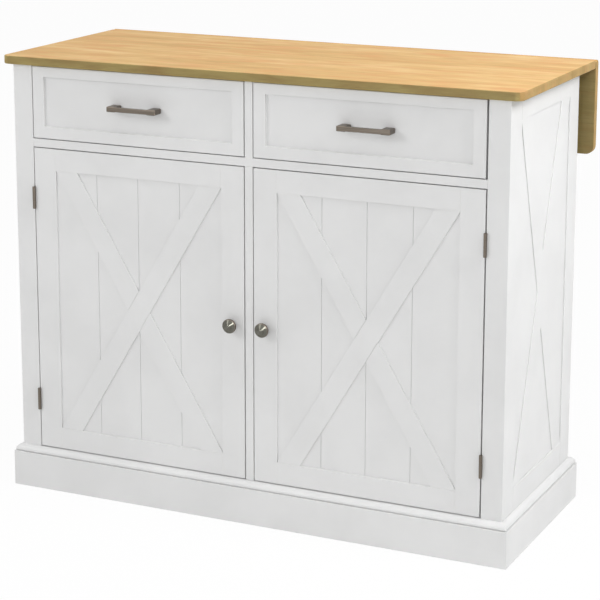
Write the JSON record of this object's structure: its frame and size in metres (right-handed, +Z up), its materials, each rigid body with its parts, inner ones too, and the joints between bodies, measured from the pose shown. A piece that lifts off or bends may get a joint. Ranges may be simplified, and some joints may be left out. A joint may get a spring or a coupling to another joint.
{
  "type": "drop leaf kitchen island",
  "caption": "Painted kitchen island cabinet with drawers over cross-braced doors, an oiled wood worktop and a drop leaf hinged along the back that swings up on stays.",
  "frame": {"origin": "on the floor, under the middle of the closed island's bounding box", "axes": "+X to the right along the worktop's length as seen from the front, +Y from the front to the back, +Z up"},
  "size_m": [1.114, 0.484, 0.915],
  "materials": {
    "white_paint": "satin white paint on board",
    "oiled_wood": "oiled light hardwood staves",
    "raw_board": "pale sealed plywood",
    "dark_nickel": "dark brushed nickel plate",
    "zinc_steel": "bright zinc plated sheet steel",
    "catch_plastic": "moulded white plastic"
  },
  "bodies": {
    "cabinet": {"worktop": "oiled_wood", "leaf_hinge_arms": "zinc_steel", "stay_channels": "zinc_steel", "worktop_brackets": "zinc_steel", "left_side_panel": "white_paint", "right_side_panel": "white_paint", "left_side_frame": "white_paint", "right_side_frame": "white_paint", "left_side_brace": "white_paint", "right_side_brace": "white_paint", "left_front_post": "white_paint", "right_front_post": "white_paint", "bottom_panel": "white_paint", "mid_panel": "white_paint", "lower_partition": "white_paint", "upper_partition": "white_paint", "back_panel": "white_paint", "rear_stretcher": "white_paint", "plinth_front": "white_paint", "plinth_left": "white_paint", "plinth_right": "white_paint", "plinth_back": "white_paint", "left_shelf": "white_paint", "right_shelf": "white_paint", "shelf_pins": "zinc_steel", "runner_blocks": "raw_board", "slide_rails": "zinc_steel", "hinge_frame_leaves": "dark_nickel", "hinge_pins": "dark_nickel", "door_catches": "catch_plastic"},
    "leaf": {"drop_leaf": "oiled_wood", "leaf_hinge_cups": "zinc_steel", "leaf_pins": "zinc_steel", "stay_shoes": "zinc_steel"},
    "left_stay": {"left_stay": "zinc_steel"},
    "right_stay": {"right_stay": "zinc_steel"},
    "left_drawer": {"left_drawer_front": "white_paint", "left_drawer_left_side": "raw_board", "left_drawer_right_side": "raw_board", "left_drawer_back": "raw_board", "left_drawer_bottom": "raw_board", "left_drawer_runners": "zinc_steel", "left_drawer_pull": "dark_nickel"},
    "left_door": {"left_door_frame": "white_paint", "left_door_boards": "white_paint", "left_door_brace": "white_paint", "left_door_knob": "dark_nickel", "left_door_hinges": "dark_nickel"},
    "right_drawer": {"right_drawer_front": "white_paint", "right_drawer_left_side": "raw_board", "right_drawer_right_side": "raw_board", "right_drawer_back": "raw_board", "right_drawer_bottom": "raw_board", "right_drawer_runners": "zinc_steel", "right_drawer_pull": "dark_nickel"},
    "right_door": {"right_door_frame": "white_paint", "right_door_boards": "white_paint", "right_door_brace": "white_paint", "right_door_knob": "dark_nickel", "right_door_hinges": "dark_nickel"}
  },
  "joints": [
    {"name": "left_drawer_slide", "type": "slide", "parent": "cabinet", "child": "left_drawer", "axis": [0, -1, 0], "range_m": [0, 0.26]},
    {"name": "right_drawer_slide", "type": "slide", "parent": "cabinet", "child": "right_drawer", "axis": [0, -1, 0], "range_m": [0, 0.26]},
    {"name": "left_door_swing", "type": "hinge", "parent": "cabinet", "child": "left_door", "pos_m": [-0.49, -0.2195, 0.4], "axis": [0, 0, -1], "range_deg": [0, 165]},
    {"name": "right_door_swing", "type": "hinge", "parent": "cabinet", "child": "right_door", "pos_m": [0.49, -0.2195, 0.4], "axis": [0, 0, 1], "range_deg": [0, 165]},
    {"name": "leaf_swing", "type": "hinge", "parent": "cabinet", "child": "leaf", "pos_m": [0, 0.2335, 0.9065], "axis": [1, 0, 0], "range_deg": [0, 90]},
    {"name": "left_stay_swing", "type": "hinge", "parent": "leaf", "child": "left_stay", "pos_m": [-0.3, 0.217, 0.8425], "axis": [-1, 0, 0], "range_deg": [0, 138.02]},
    {"name": "right_stay_swing", "type": "hinge", "parent": "leaf", "child": "right_stay", "pos_m": [0.3, 0.217, 0.8425], "axis": [-1, 0, 0], "range_deg": [0, 138.02]}
  ],
  "couplings": [
    {"joint": "left_stay_swing", "follows": "leaf_swing", "ratio": 1.5335},
    {"joint": "right_stay_swing", "follows": "leaf_swing", "ratio": 1.5335}
  ]
}
